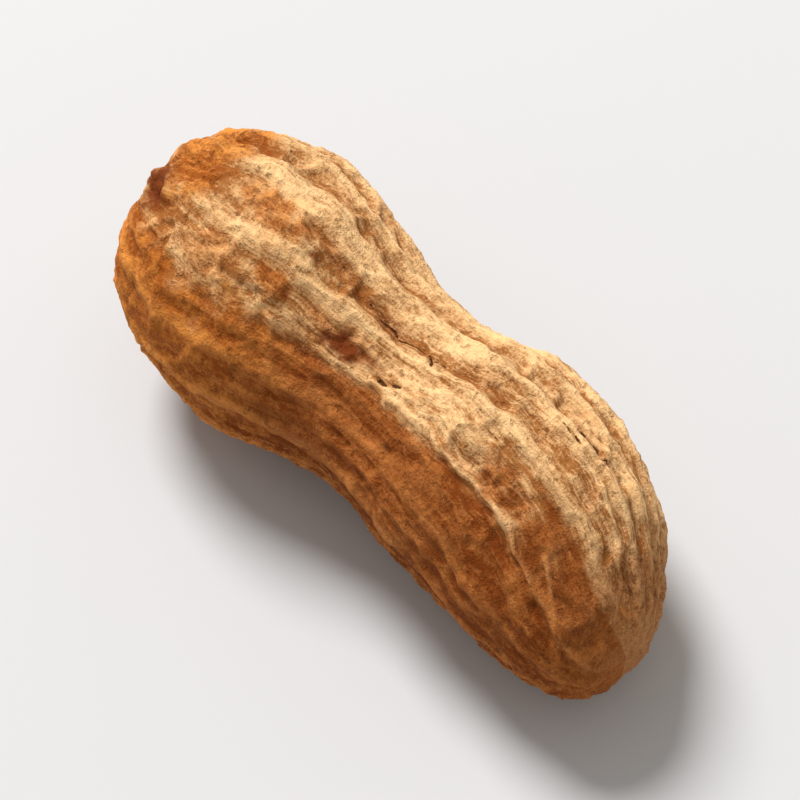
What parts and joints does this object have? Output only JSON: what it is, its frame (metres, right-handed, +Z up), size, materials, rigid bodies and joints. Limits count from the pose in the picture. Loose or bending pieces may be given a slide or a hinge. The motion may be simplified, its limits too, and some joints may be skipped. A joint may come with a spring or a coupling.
{
  "type": "peanut",
  "caption": "Whole unshelled peanut lying on its side: a dry ribbed pod with two swollen chambers, a waist and a blunt beak.",
  "frame": {"origin": "on the surface that the pod rests on, under the middle of its bounding box", "axes": "+X along the pod from the stem scar to the beak, +Y across it, +Z up"},
  "size_m": [0.041, 0.0176, 0.0158],
  "materials": {
    "shell": "dry matt straw-tan husk: pale grainy ribs and net, orange-brown cells, a browner toasted lower flank"
  },
  "bodies": {
    "root": {"peanut_pod": "shell"}
  },
  "joints": []
}
